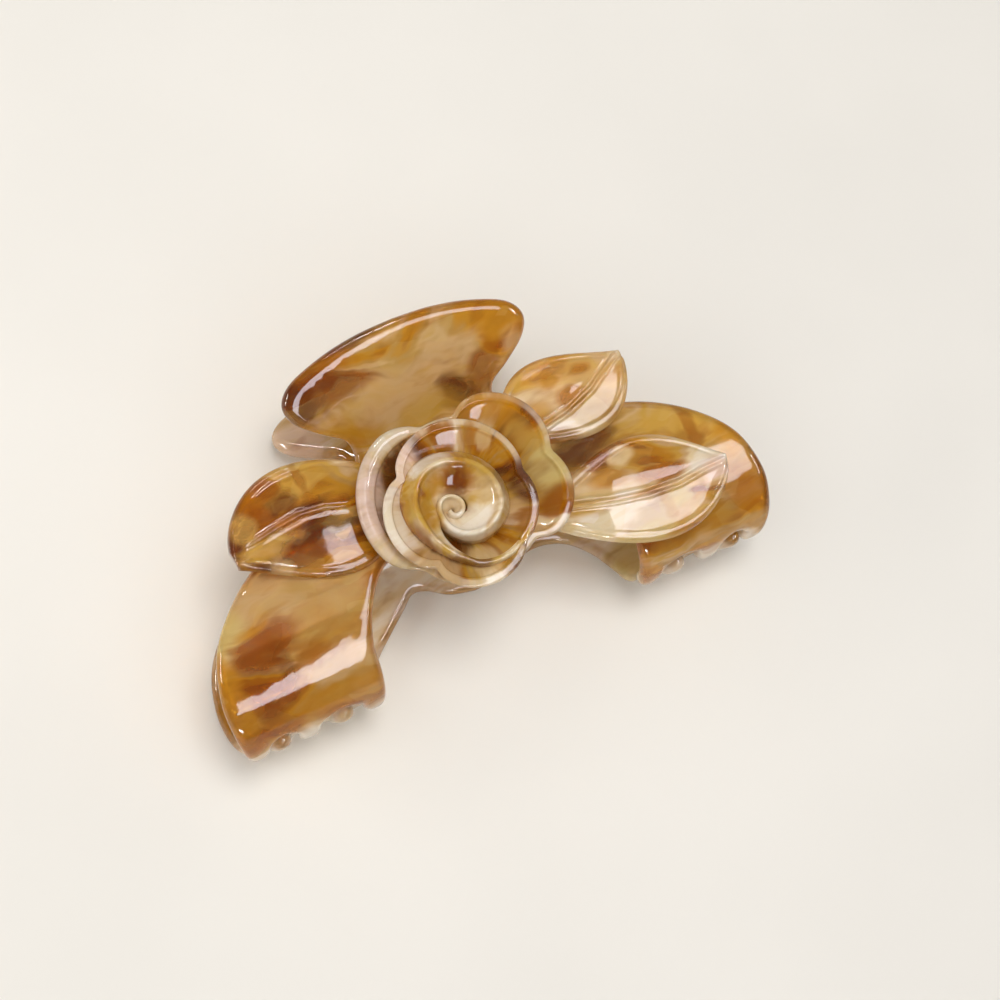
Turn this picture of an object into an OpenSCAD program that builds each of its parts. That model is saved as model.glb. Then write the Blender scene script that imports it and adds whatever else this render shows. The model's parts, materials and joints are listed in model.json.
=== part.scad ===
// Claw hair clip with a rose and three leaves, marbled acetate, lying on its back jaw.
// X runs along the hinge pin, Y from the teeth to the thumb paddles, Z up from the table.
// The origin is under the middle of the clip, on the table.

/* [Jaws] */
// Width across the two wings
jaw_span = 104.8; // [96:0.1:112]
// Width of the thumb paddles
paddle_width = 46.8; // [42:0.1:50]
// Thickness of the bent acetate sheet
sheet = 3.2; // [2.8:0.1:3.4]
// Width of a tooth where it leaves the sheet
tooth_width = 5.0; // [4:0.1:5.2]

/* [Hinge] */
// Diameter of the hinge pin
pin_d = 2.0; // [1.8:0.1:2.2]
// Radial clearance of the pin in the lugs
pin_clearance = 0.05; // [0.02:0.01:0.08]
// Radius of the round end of a lug
lug_r = 3.2; // [2.8:0.1:3.3]
// Thickness of a lug along the pin
lug_t = 2.6; // [2:0.1:2.8]
// Gap between neighbouring lugs
lug_gap = 0.3; // [0.2:0.05:0.4]
// Diameter of the spring wire
wire_d = 0.8; // [0.6:0.05:0.9]
// Turns in the spring's coil
coil_turns = 7; // [5:1:8]

/* [Rose] */
// Thickness of a petal
petal_t = 1.7; // [1.4:0.1:2]
// Height of the middle petals' rim above the clip's middle plane
middle_rim = 22.5; // [21:0.1:24]
// Height of the bud's rim above the clip's middle plane
bud_rim = 25.0; // [24:0.1:26]

/* [Leaves] */
// Thickness of a leaf
leaf_t = 2.4; // [2:0.1:2.8]
// Depth of the groove that marks the midrib
midrib_depth = 0.5; // [0.2:0.1:0.7]

/* [Hidden] */

// The clip leans on its paddle and its belly, so its middle plane is tilted by this much.
rest_tilt = 4.5;
rest_shift = [0, 8.3, 15.92];

acetate_amber = [0.72, 0.45, 0.16, 0.9];
acetate_cream = [0.85, 0.72, 0.55, 0.9];
steel = [0.75, 0.75, 0.77];

// The bend of a jaw: points (y, z) of the sheet's middle, from the paddle's edge to the tooth tips.
bend_points = [[23, 18.2], [17.5, 14.8], [10.5, 10.2], [4, 6.4], [-2, 5.8], [-8, 9], [-15, 12],
    [-22, 12.6], [-29, 11], [-34, 7.6], [-36.5, 3.8], [-37.2, -0.2], [-36.4, -4.6], [-35, -8]];
// The outline of a wing and half a paddle: points (x, s), s being the distance along the bend
// from the pin, positive towards the paddle.
plate_end = -40.5;
span_scale = jaw_span / 104.8;
paddle_scale = paddle_width / 46.8;
outer_points = concat(
    [for (p = [[51.3, plate_end], [52.4, -35], [52.2, -29], [50, -22], [45.2, -16], [38.5, -10.5],
        [31, -7], [24, -4.6], [17.5, -2.6], [14.2, 1.4]]) [p[0] * span_scale, p[1]]],
    [for (p = [[14.2, 5.4], [18, 8.4], [22, 12], [23.2, 15.8], [20.6, 19.2], [14, 21.8],
        [7, 23.2], [-0.02, 23.6]]) [p[0] * paddle_scale, p[1]]]);
// The arch between the wings, from the teeth to the middle: one curve serves both halves of the
// front jaw, and the back jaw's round tongue has a left and a right side.
front_arch = [[25.4, plate_end], [25.2, -36], [25, -30.5], [22.6, -24.5], [18, -19.4],
    [10, -17.6], [-0.02, -17.6]];
back_arch_left = [[25.4, plate_end], [25, -36.4], [21.6, -32.2], [17, -28.4], [13.4, -25.6],
    [11, -23.8], [8.4, -24.2], [4.6, -26.6], [-0.02, -27.8]];
back_arch_right = [[25.4, plate_end], [25, -36], [23.4, -30.8], [19.6, -26.6], [14, -25],
    [8, -26.2], [3, -27.6], [-0.02, -27.8]];
edge_steps = [0, 0.35, 0.9, 1.6];
plate_cols = 5;
front_teeth = [27.6, 39.8, 49.2];
back_teeth = [33.2, 45];
tooth_end = -46.9;

pin_head_r = 1.8;
pin_head_t = 0.8;
lug_x_inner = 5.4;
lug_foot = 9;
lug_foot_top = 4.9;
coil_mean_r = 1.95;
coil_length = 2 * lug_x_inner - 1.4;
leg_length = 8.8;
leg_angle = 25;
leg_bow = 0.2;

// Smooth curve through points, n steps between two of them.
function blend4(a, b, c, d, t) = 0.5 * (2 * b + (c - a) * t
    + (2 * a - 5 * b + 4 * c - d) * t * t + (3 * b - a - 3 * c + d) * t * t * t);
function smooth(p, n) = let (e = len(p) - 1)
    concat([for (i = [0:e - 1]) for (k = [0:n - 1])
        blend4(p[max(i - 1, 0)], p[i], p[i + 1], p[min(i + 2, e)], k / n)], [p[e]]);
function mix(a, b, t) = a + (b - a) * t;

// Distance along the bend, measured from the point nearest the pin.
bend = smooth(bend_points, 6);
function lengths(p, i = 1, sum = [0]) = i == len(p) ? sum
    : lengths(p, i + 1, concat(sum, [sum[i - 1] + norm(p[i] - p[i - 1])]));
bend_len = lengths(bend);
pin_len = lookup(0, [for (i = [len(bend) - 1:-1:0]) [bend[i][0], bend_len[i]]]);
bend_y = [for (i = [len(bend) - 1:-1:0]) [pin_len - bend_len[i], bend[i][0]]];
bend_z = [for (i = [len(bend) - 1:-1:0]) [pin_len - bend_len[i], bend[i][1]]];
function bend_at(s) = [lookup(s, bend_y), lookup(s, bend_z)];
function bend_dir(s) = let (d = bend_at(s + 0.6) - bend_at(s - 0.6)) d / norm(d);
// A point of the sheet: x across, s along the bend, h above its middle.
function on_sheet(x, s, h) = let (p = bend_at(s), d = bend_dir(s))
    [x, p[0] - h * d[1], p[1] + h * d[0]];

// One closed solid through rings of points, each ring a loop with an even count.
module loft(rings) {
    k = len(rings[0]);
    n = len(rings);
    polyhedron(points = [for (r = rings) for (p = r) p], faces = concat(
        [for (i = [0:n - 2]) for (j = [0:k - 1]) let (a = i * k + j, b = i * k + (j + 1) % k)
            each [[a, b, a + k], [b, b + k, a + k]]],
        [for (j = [0:k / 2 - 2]) each [[j, k - 1 - j, j + 1], [j + 1, k - 1 - j, k - 2 - j]]],
        [for (j = [0:k / 2 - 2]) let (e = (n - 1) * k)
            each [[e + j, e + j + 1, e + k - 1 - j], [e + j + 1, e + k - 2 - j, e + k - 1 - j]]]));
}

module at_rest() {
    translate(rest_shift) rotate([rest_tilt, 0, 0]) children();
}

// Across one row of a plate: distance from the inner side, and half thickness there.
function edge_h(d) = let (r = edge_steps[3]) d >= r ? sheet / 2
    : sheet / 2 * sqrt(1 - pow(1 - d / r, 2));
function row_d(w) = concat(edge_steps, [for (k = [1:plate_cols - 1])
    mix(edge_steps[3], w - edge_steps[3], k / plate_cols)], [for (k = [3:-1:0]) w - edge_steps[k]]);
function plate_row(a, b, cut) = let (w = norm(b - a), d = row_d(w), n = len(d) - 1,
    half = [for (i = [0:n]) min(cut ? sheet / 2 : edge_h(d[i]), edge_h(w - d[i])) + 0.02],
    at = [for (i = [0:n]) mix(a, b, d[i] / w)])
    concat([for (i = [0:n]) on_sheet(at[i][0], at[i][1], half[i])],
        [for (i = [n:-1:0]) on_sheet(at[i][0], at[i][1], -half[i])]);

module half_plate(arch) {
    inner = smooth(arch, 3);
    outer = smooth(outer_points, 3);
    n = len(outer) - 1;
    m = len(inner) - 1;
    middle_top = 13;
    loft([for (i = [n:-1:0]) let (t = i / n * 1.55 * m, cut = t >= m)
        plate_row(cut ? [-0.02, mix(inner[m][1], middle_top, min(1, (t - m) / (m * 0.55)))]
            : mix(inner[floor(t)], inner[min(floor(t) + 1, m)], t - floor(t)), outer[i], cut)]);
}

// A tooth curls on along the bend and ends in a round tip.
module tooth(x) {
    stations = [[plate_end + 3, tooth_width / 2 - 1.5, 1.5], [plate_end - 1, tooth_width / 2 - 1.6, 1.5],
        [tooth_end + 2.4, 0.6, 1.5], [tooth_end, 0.05, 1.45]];
    for (i = [0:2]) hull() for (k = [i, i + 1]) for (side = [-1, 1]) let (q = stations[k])
        translate(on_sheet(x + side * q[1], q[0], 0)) sphere(r = q[2], $fn = 10);
}

module jaw(left, right, teeth) {
    half_plate(right);
    mirror([1, 0, 0]) half_plate(left);
    for (x = teeth) tooth(x * span_scale);
    for (x = teeth) tooth(-x * span_scale);
}

module front_jaw() {
    color(acetate_amber) at_rest() jaw(front_arch, front_arch, front_teeth);
}

module back_jaw() {
    color(acetate_cream) at_rest() mirror([0, 0, 1])
        jaw(back_arch_left, back_arch_right, back_teeth);
}

// A hinge lug: a round ear with a bore for the pin, and a foot let into the sheet.
module lug(x) {
    tangent = 35;
    translate([x, 0, 0]) rotate([90, 0, 90]) difference() {
        union() {
            cylinder(r = lug_r, h = lug_t, $fn = 48);
            linear_extrude(lug_t) polygon([[lug_r * cos(tangent), lug_r * sin(tangent)],
                [lug_foot / 2, lug_foot_top], [-lug_foot / 2, lug_foot_top],
                [-lug_r * cos(tangent), lug_r * sin(tangent)]]);
        }
        translate([0, 0, -1]) cylinder(d = pin_d + 2 * pin_clearance, h = lug_t + 2, $fn = 48);
    }
}

lug_x_outer = lug_x_inner + lug_t + lug_gap;

module front_lug_left() {
    color(acetate_amber) at_rest() lug(-lug_x_outer - lug_t);
}

module front_lug_right() {
    color(acetate_amber) at_rest() lug(lug_x_outer);
}

module back_lug_left() {
    color(acetate_cream) at_rest() mirror([0, 0, 1]) lug(-lug_x_inner - lug_t);
}

module back_lug_right() {
    color(acetate_cream) at_rest() mirror([0, 0, 1]) lug(lug_x_inner);
}

module hinge_pin() {
    half = lug_x_outer + lug_t + 0.2;
    color(steel) at_rest() rotate([0, 90, 0]) rotate_extrude($fn = 48)
        polygon([[0, -half - pin_head_t], [pin_head_r, -half - pin_head_t], [pin_head_r, -half],
            [pin_d / 2, -half], [pin_d / 2, half], [pin_head_r, half],
            [pin_head_r, half + pin_head_t], [0, half + pin_head_t]]);
}

// The spring's centre line: a leg under the front paddle, the coil, a leg on the back paddle.
function leg_point(side, t) = let (start = coil_mean_r * [-sin(leg_angle), cos(leg_angle)],
    p = start + t * leg_length * [cos(leg_angle), sin(leg_angle)]
        + t * t * leg_bow * [-sin(leg_angle), cos(leg_angle)])
    [-side * coil_length / 2, p[0], side * p[1]];
function coil_point(t) = let (turn = 90 + leg_angle
    + t * (360 * coil_turns + 180 - 2 * leg_angle))
    [mix(-coil_length / 2, coil_length / 2, t), coil_mean_r * cos(turn), coil_mean_r * sin(turn)];

module torsion_spring() {
    steps = 14 * coil_turns;
    path = concat([for (t = [1, 0.6, 0.2]) leg_point(1, t)], [for (i = [0:steps]) coil_point(i / steps)],
        [for (t = [0.2, 0.6, 1]) leg_point(-1, t)]);
    sides = 8;
    color(steel) at_rest() loft([for (i = [0:len(path) - 1])
        let (d = path[min(i + 1, len(path) - 1)] - path[max(i - 1, 0)], u = cross(d, [1, 0, 0]),
            a = u / norm(u), c = cross(a, d) / norm(d))
        [for (k = [0:sides - 1]) path[i] + wire_d / 2 * (a * cos(k * 45) + c * sin(k * 45))]]);
}

// How far a ring of lobes reaches at an angle; a lobe is [angle, radius, half width in degrees].
function turn_between(a, b) = let (d = (a - b) % 360) d > 180 ? d - 360 : d < -180 ? d + 360 : d;
function lobe_r(lobes, angle, floor_r) = floor_r + max([for (l = lobes)
    let (u = turn_between(angle, l[0]) / l[2]) abs(u) >= 1 ? 0
        : (l[1] - floor_r) * pow(cos(90 * u), 0.55)]);

// A cup of joined petals on centre c, from its floor z0 up to its rim z1.
module petal_cup(c, lobes, floor_r, z0, z1, bowl) {
    n = 60;
    m = 7;
    start_r = 2;
    function profile(i, q) = let (a = i * 360 / n, top = lobe_r(lobes, a, floor_r))
        [mix(start_r, top, q), z0 + (z1 - z0) * pow(q, bowl)];
    function offset_down(i, q) = let (p = profile(i, q),
        d = profile(i, min(q + 0.05, 1)) - profile(i, max(q - 0.05, 0)), u = d / norm(d))
        [p[0] + petal_t * u[1], p[1] - petal_t * u[0]];
    function spin(p, i) = let (a = i * 360 / n) [c[0] + p[0] * cos(a), c[1] + p[0] * sin(a), p[1]];
    loft(concat([for (k = [0:m]) [for (i = [0:n - 1]) spin(profile(i, k / m), i)]],
        [[for (i = [0:n - 1]) let (p = profile(i, 1), o = offset_down(i, 1))
            spin((p + o) / 2 + 0.4 * petal_t * [0.5, 0.86], i)]],
        [for (k = [m:-1:0]) [for (i = [0:n - 1]) spin(offset_down(i, k / m), i)]]));
}

rose_seat = 13.4;
outer_centre = [-1.6, -13];
outer_lobes = [[160, 16.6, 62], [34, 18.6, 48], [-20, 18, 40], [246, 14.6, 48]];
middle_centre = [-4, -14.6];
middle_lobes = [[68, 14, 76], [-24, 12.5, 44], [-90, 13.4, 50], [178, 12.5, 50]];
bud_centre = [-5.3, -14.7];

module rose_outer_petals() {
    color(acetate_amber) at_rest()
        petal_cup(outer_centre, outer_lobes, 13, rose_seat + petal_t, 19.5, 2.4);
}

module rose_middle_petals() {
    color(acetate_cream) at_rest()
        petal_cup(middle_centre, middle_lobes, 10.6, rose_seat + 2 * petal_t + 0.1, middle_rim, 2.2);
}

// The bud is one strip rolled into a spiral; points are (angle, radius).
bud_roll = [[-55, 11], [-83, 9.8], [-115, 7.6], [-157, 6.4], [-218, 7.3], [-257, 8.1], [-299, 7.9],
    [-333, 8.3], [-367, 7.6], [-400, 5.6], [-447, 3.5], [-493, 2.8], [-560, 2.9], [-620, 2.3],
    [-686, 1.6]];

module rose_bud() {
    roll = smooth(bud_roll, 5);
    wall = 0.7;
    foot = rose_seat + 3 * petal_t + 0.2;
    last = len(roll) - 1;
    color(acetate_cream) at_rest() loft([for (i = [0:last]) let (a = roll[i][0], r = roll[i][1],
        rim = bud_rim - 1.5 * pow(i / last, 2), c = [bud_centre[0], bud_centre[1], 0],
        u = [cos(a), sin(a), 0], lean = i < last / 3 ? 0.6 : 0.25)
        [c + u * (r - wall - lean) + [0, 0, foot], c + u * (r - wall) + [0, 0, rim - 0.6],
            c + u * (r - wall / 2) + [0, 0, rim], c + u * (r + wall / 2) + [0, 0, rim],
            c + u * (r + wall) + [0, 0, rim - 0.6], c + u * (r + wall - lean) + [0, 0, foot]]]);
}

// A leaf from its base to its tip, with one full side and one that hollows towards the tip.
// wide and peak are [hollow side, full side]: the half width, and how far out it is widest.
// slope tips the blade about its midrib.
module leaf(base, tip, z_base, z_tip, wide, peak, slope) {
    along = tip - base;
    long = norm(along);
    u = along / long;
    v = [-u[1], u[0]];
    fullness = [1.05, 0.5];
    across = [-1, -0.96, -0.85, -0.6, -0.3, -0.08, 0, 0.08, 0.3, 0.6, 0.85, 0.96, 1];
    function half(t, side) = wide[side] * pow(sin(180 * pow(t, peak[side])), fullness[side]) + 0.15;
    function blade(t, w, low) = let (y = w * half(t, w > 0 ? 0 : 1),
        xy = base + u * t * long + v * y,
        camber = -1.2 * w * w - pow(2 * t - 1, 2), groove = abs(w) < 0.05 ? midrib_depth : 0,
        edge = leaf_t / 2 * sqrt(max(0.02, 1 - pow(max(abs(w) - 0.82, 0) / 0.18, 2))))
        [xy[0], xy[1], mix(z_base, z_tip, t) + camber + slope * y + (low ? -edge : edge - groove)];
    loft([for (k = [0:20]) let (t = mix(0.03, 0.985, k / 20))
        concat([for (w = across) blade(t, w, false)],
            [for (i = [len(across) - 1:-1:0]) blade(t, across[i], true)])]);
}

module leaf_left() {
    color(acetate_amber) at_rest()
        leaf([-10, -5.2], [-41.8, -8.8], 14.4, 17.2, [10.4, 11.4], [0.76, 1.27], 0);
}

module leaf_upper_right() {
    color(acetate_cream) at_rest()
        leaf([10.5, -5.2], [35.8, 0.7], 13, 15.5, [7.6, 9.4], [0.72, 1.45], 0.04);
}

module leaf_lower_right() {
    color(acetate_cream) at_rest()
        leaf([8, -19.5], [45.2, -24.2], 15.3, 17, [7.7, 11], [1.23, 1.45], 0.06);
}

front_jaw();
back_jaw();
front_lug_left();
front_lug_right();
back_lug_left();
back_lug_right();
hinge_pin();
torsion_spring();
rose_outer_petals();
rose_middle_petals();
rose_bud();
leaf_left();
leaf_upper_right();
leaf_lower_right();
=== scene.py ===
import json
import math

import bpy
import numpy as np
from mathutils import Matrix, Vector
from mathutils.geometry import delaunay_2d_cdt


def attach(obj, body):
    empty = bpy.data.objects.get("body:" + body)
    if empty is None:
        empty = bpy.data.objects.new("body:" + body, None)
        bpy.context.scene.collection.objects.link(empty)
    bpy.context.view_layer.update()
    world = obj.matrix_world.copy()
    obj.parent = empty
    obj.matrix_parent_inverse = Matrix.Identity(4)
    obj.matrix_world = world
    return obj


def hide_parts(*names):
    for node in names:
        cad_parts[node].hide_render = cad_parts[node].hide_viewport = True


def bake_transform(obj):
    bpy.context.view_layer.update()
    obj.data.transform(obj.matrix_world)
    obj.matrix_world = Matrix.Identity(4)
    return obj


# A claw hair clip in marbled acetate. Shapes are worked out in the clip's own frame, in
# millimetres: the pin is the origin, X runs along it, Y from teeth to paddles, Z to the rose.
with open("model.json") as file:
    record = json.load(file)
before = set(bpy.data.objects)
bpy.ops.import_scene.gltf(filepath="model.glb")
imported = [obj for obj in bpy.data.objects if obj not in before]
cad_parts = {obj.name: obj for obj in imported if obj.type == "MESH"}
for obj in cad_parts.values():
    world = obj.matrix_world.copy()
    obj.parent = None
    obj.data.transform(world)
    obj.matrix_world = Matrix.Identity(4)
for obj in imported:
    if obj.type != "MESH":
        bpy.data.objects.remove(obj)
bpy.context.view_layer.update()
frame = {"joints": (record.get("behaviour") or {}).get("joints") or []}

MM = 0.001
PIN = np.array(frame["joints"][0]["pos_m"], float)
TILT = math.radians(4.5)  # how far the clip leans as it lies on its back jaw
COS, SIN = math.cos(TILT), math.sin(TILT)


def to_row(p):
    """Clip frame in millimetres to the row frame in metres."""
    p = np.asarray(p, float)
    y, z = p[..., 1], p[..., 2]
    return np.stack([p[..., 0], y * COS - z * SIN, y * SIN + z * COS], -1) * MM + PIN


def direction_to_row(d):
    """A direction in the clip frame, turned into the row frame."""
    return Vector((d[0], d[1] * COS - d[2] * SIN, d[1] * SIN + d[2] * COS))


# ---------------------------------------------------------------- curves
def smooth(points, steps):
    """An open Catmull-Rom curve through points."""
    p = np.array(points, float)
    last = len(p) - 1
    t = (np.arange(steps) / steps)[:, None]
    out = []
    for i in range(last):
        a, b, c, d = p[max(i - 1, 0)], p[i], p[i + 1], p[min(i + 2, last)]
        out.append(0.5 * (2 * b + (c - a) * t + (2 * a - 5 * b + 4 * c - d) * t * t
                          + (3 * b - a - 3 * c + d) * t ** 3))
    out.append(p[-1:])
    return np.concatenate(out)


def lengths_along(points):
    """Length along a chain of points, up to each of them."""
    return np.concatenate([[0], np.cumsum(np.linalg.norm(np.diff(points, axis=0), axis=1))])


def resample(points, step):
    """A closed outline with points every step."""
    p = np.vstack([points, points[:1]])
    s = lengths_along(p)
    at = np.linspace(0, s[-1], int(s[-1] / step), endpoint=False)
    return np.stack([np.interp(at, s, p[:, k]) for k in (0, 1)], -1)


def smoothstep(x, lo, hi):
    """0 at lo and 1 at hi, with a smooth rise between."""
    t = np.clip((np.asarray(x, float) - lo) / (hi - lo), 0, 1)
    return t * t * (3 - 2 * t)


# The bend of a jaw as (y, z), from the paddle's edge over the hinge to the tooth tips.
SHEET = 3.2  # thickness of the acetate sheet
BEND_POINTS = [(23, 18.2), (17.5, 14.8), (10.5, 10.2), (4, 6.4), (-2, 5.8), (-8, 9), (-15, 12),
               (-22, 12.6), (-29, 11), (-34, 7.6), (-36.5, 3.8), (-37.2, -0.2), (-36.4, -4.6),
               (-35, -8)]
BEND = smooth(BEND_POINTS, 40)
# Length along the bend from the point over the pin, positive towards the paddle.
BEND_S = lengths_along(BEND)
near_pin = BEND[:, 0] > -8
BEND_S = np.interp(0, BEND[near_pin, 0][::-1], BEND_S[near_pin][::-1]) - BEND_S


def bend_at(s):
    """(y, z) of the bend at length s."""
    return np.stack([np.interp(s, BEND_S[::-1], BEND[::-1, k]) for k in (0, 1)], -1)


def on_sheet(x, s, h):
    """x across, s along the bend from the pin, h above the sheet's middle."""
    reach = 0.6  # half the length over which the slope is taken
    d = bend_at(s + reach) - bend_at(s - reach)
    d /= np.linalg.norm(d, axis=-1, keepdims=True)
    p = bend_at(s)
    return np.stack([x, p[:, 0] - h * d[:, 1], p[:, 1] + h * d[:, 0]], -1)


# ---------------------------------------------------------------- mesh helpers
def volume(points, faces):
    """Signed volume, so that a mesh can be turned to face outwards."""
    fans = np.array([(f[0], f[k], f[k + 1]) for f in faces for k in range(1, len(f) - 1)])
    a, b, c = (points[fans[:, k]] for k in range(3))
    return float((a * np.cross(b, c)).sum())


def make(name, points, faces, body, replaced, material, mirror_z=False, rim=None):
    """A smooth mesh from clip-frame points, riding on a CAD body in place of CAD nodes."""
    points = np.array(points, float)
    faces = [list(map(int, f)) for f in faces]
    if mirror_z:
        points[:, 2] *= -1
    if volume(points, faces) < 0:
        faces = [f[::-1] for f in faces]
    mesh = bpy.data.meshes.new(name)
    mesh.from_pydata(to_row(points).tolist(), [], faces)
    # rim is each point's share of the painted edge light and shade.
    if rim is not None:
        mesh.attributes.new("rim", "FLOAT", "POINT").data.foreach_set("value", np.float32(rim))
    mesh.validate()
    mesh.shade_smooth()
    obj = bpy.data.objects.new(name, mesh)
    bpy.context.scene.collection.objects.link(obj)
    mesh.materials.append(material)
    if body:
        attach(obj, body)
    for node in replaced:
        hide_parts(node)
    return obj


def ring_faces(rings, around):
    """Faces of a tube of rings with around points each, closed at both ends."""
    faces = []
    for i in range(rings - 1):
        for j in range(around):
            k = (j + 1) % around
            faces.append((i * around + j, i * around + k, (i + 1) * around + k, (i + 1) * around + j))
    faces.append(tuple(range(around - 1, -1, -1)))
    last = (rings - 1) * around
    faces.append(tuple(last + j for j in range(around)))
    return faces


def outline_distance(points, outline):
    """Distance from each point to a closed outline."""
    a, b = outline, np.roll(outline, -1, axis=0)
    ab = b - a
    length2 = (ab ** 2).sum(1)
    best = np.empty(len(points))
    batch = 2000
    for i in range(0, len(points), batch):
        p = points[i:i + batch, None]
        t = np.clip(((p - a) * ab).sum(2) / length2, 0, 1)
        gap = p - a - t[..., None] * ab
        best[i:i + batch] = np.sqrt((gap ** 2).sum(2).min(1))
    return best


def inside(points, outline):
    """Which points lie inside a closed outline."""
    a, b = outline, np.roll(outline, -1, axis=0)
    hit = np.zeros(len(points), bool)
    for p, q in zip(a, b):
        if p[1] == q[1]:
            continue
        crosses = (p[1] > points[:, 1]) != (q[1] > points[:, 1])
        x = (q[0] - p[0]) * (points[:, 1] - p[1]) / (q[1] - p[1]) + p[0]
        hit ^= crosses & (points[:, 0] < x)
    return hit


def sheet_mesh(outline, thickness, place, round_r=1.6, grid=1.15, step=0.42):
    """A sheet with edges rounded to round_r, cut to an outline in (x, s) and put in space by
    place(x, s, h). Also gives each point's nearness to the edge, from 0 to 1."""
    edge = resample(outline, step)
    after = np.roll(edge, -1, 0)
    if ((after - edge)[:, 1] * (after + edge)[:, 0]).sum() < 0:
        edge = edge[::-1]
    tangent = np.roll(edge, -1, 0) - np.roll(edge, 1, 0)
    tangent /= np.linalg.norm(tangent, axis=1, keepdims=True)
    inward = np.stack([-tangent[:, 1], tangent[:, 0]], -1)
    rows = [edge]
    for phi in (20, 38, 55, 72, 90):
        depth = round_r * (1 - math.cos(math.radians(phi)))
        skip = 1 if phi < 60 else 2
        q = (edge + inward * depth)[::skip]
        rows.append(q[inside(q, edge) & (outline_distance(q, edge) > depth - 0.02)])
    lo, hi = edge.min(0), edge.max(0)
    levels = np.arange(lo[1], hi[1], grid * math.sqrt(0.75))
    middle = np.array([(x + (k % 2) * grid / 2, y) for k, y in enumerate(levels)
                       for x in np.arange(lo[0], hi[0], grid)])
    middle = middle[inside(middle, edge)]
    gap = 0.55  # between the innermost edge row and the middle grid
    middle = middle[outline_distance(middle, edge) > round_r + gap]
    points = np.vstack(rows + [middle])
    boundary = [list(range(len(edge)))]
    corners, _, cells, *_ = delaunay_2d_cdt([Vector(p) for p in points], [], boundary, 1, 1e-6)
    flat = np.array([tuple(v) for v in corners], float)
    tris = np.array([f for f in cells if len(f) == 3])
    d = outline_distance(flat, edge)
    d[d < 1e-5] = 0
    k = np.clip(d / round_r, 0, 1)
    h = thickness / 2 * np.sqrt(np.clip(1 - (1 - k) ** 2, 0, 1))
    both = np.concatenate([place(flat[:, 0], flat[:, 1], side * h) for side in (1, -1)])
    on_edge = d == 0
    below = np.arange(len(flat)) + len(flat)
    below[on_edge] = np.nonzero(on_edge)[0]
    faces = np.concatenate([tris, below[tris][:, ::-1]])
    keep, inverse = np.unique(faces, return_inverse=True)
    # Each point's weight in the painted edge light and shade: 1 at the edge, 0 from 2.2 mm in.
    near = 1 - smoothstep(np.concatenate([d, d]), 0.4, 2.2)
    return both[keep], inverse.reshape(faces.shape), near[keep]


# ---------------------------------------------------------------- materials
def nodes_of(material):
    """An empty node tree with a principled shader linked to its output."""
    material.use_nodes = True
    tree = material.node_tree
    tree.nodes.clear()
    out = tree.nodes.new("ShaderNodeOutputMaterial")
    shader = tree.nodes.new("ShaderNodeBsdfPrincipled")
    tree.links.new(shader.outputs[0], out.inputs["Surface"])
    return tree, shader


def clip_coordinates(tree):
    """The clip's own frame in millimetres, as a vector socket."""
    coordinate = tree.nodes.new("ShaderNodeTexCoord")
    mapping = tree.nodes.new("ShaderNodeMapping")
    y, z = PIN[1] / MM, PIN[2] / MM
    mapping.inputs["Location"].default_value = (-PIN[0] / MM, -(y * COS + z * SIN), -(z * COS - y * SIN))
    mapping.inputs["Rotation"].default_value = (-TILT, 0, 0)
    mapping.inputs["Scale"].default_value = (1 / MM,) * 3
    tree.links.new(coordinate.outputs["Object"], mapping.inputs["Vector"])
    return mapping.outputs[0]


def noise(tree, vector, scale, detail=2.0, rough=0.5, distortion=0.0):
    n = tree.nodes.new("ShaderNodeTexNoise")
    n.inputs["Scale"].default_value = scale
    n.inputs["Detail"].default_value = detail
    n.inputs["Roughness"].default_value = rough
    n.inputs["Distortion"].default_value = distortion
    tree.links.new(vector, n.inputs["Vector"])
    return n


def vector_math(tree, operation, a, b=None, scale=None):
    """A vector operation's result. a and b are sockets or tuples."""
    n = tree.nodes.new("ShaderNodeVectorMath")
    n.operation = operation
    for i, v in enumerate((a, b)):
        if v is None:
            continue
        if isinstance(v, tuple):
            n.inputs[i].default_value = v
        else:
            tree.links.new(v, n.inputs[i])
    if scale is not None:
        n.inputs["Scale"].default_value = scale
    return n.outputs["Value" if operation == "LENGTH" else "Vector"]


def map_range(tree, value, from_min, from_max, to_min, to_max, smoothed=True):
    n = tree.nodes.new("ShaderNodeMapRange")
    n.interpolation_type = "SMOOTHSTEP" if smoothed else "LINEAR"
    tree.links.new(value, n.inputs["Value"])
    for name, v in (("From Min", from_min), ("From Max", from_max), ("To Min", to_min),
                    ("To Max", to_max)):
        n.inputs[name].default_value = v
    return n.outputs["Result"]


def mix_colour(tree, factor, a, b):
    """The colour a moved towards b by a factor socket. a and b are sockets or linear colours."""
    n = tree.nodes.new("ShaderNodeMix")
    n.data_type = "RGBA"
    for name, v in (("Factor", factor), ("A", a), ("B", b)):
        socket = [s for s in n.inputs if s.name == name and s.enabled][0]
        if isinstance(v, tuple):
            socket.default_value = (*v, 1)
        else:
            tree.links.new(v, socket)
    return [s for s in n.outputs if s.enabled][0]


def add_bump(tree, shader, height, strength, distance):
    bump = tree.nodes.new("ShaderNodeBump")
    bump.inputs["Strength"].default_value = strength
    bump.inputs["Distance"].default_value = distance
    tree.links.new(height, bump.inputs["Height"])
    tree.links.new(bump.outputs[0], shader.inputs["Normal"])


def srgb(code):
    """A colour from its six-digit code, made linear."""
    c = [int(code[i:i + 2], 16) / 255 for i in (0, 2, 4)]
    return tuple(v / 12.92 if v <= 0.04045 else ((v + 0.055) / 1.055) ** 2.4 for v in c)


IVORY, CREAM, SAND, TAN = srgb("FFF4E2"), srgb("F0DAB2"), srgb("DEBA84"), srgb("CCA256")
OLIVE, HONEY, AMBER = srgb("DCB04E"), srgb("D69A22"), srgb("BE7606")
RUST, BROWN, DARK = srgb("A65A04"), srgb("763200"), srgb("401600")
ROSY, PEARL = srgb("F8DCCC"), srgb("E0C880")


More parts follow.
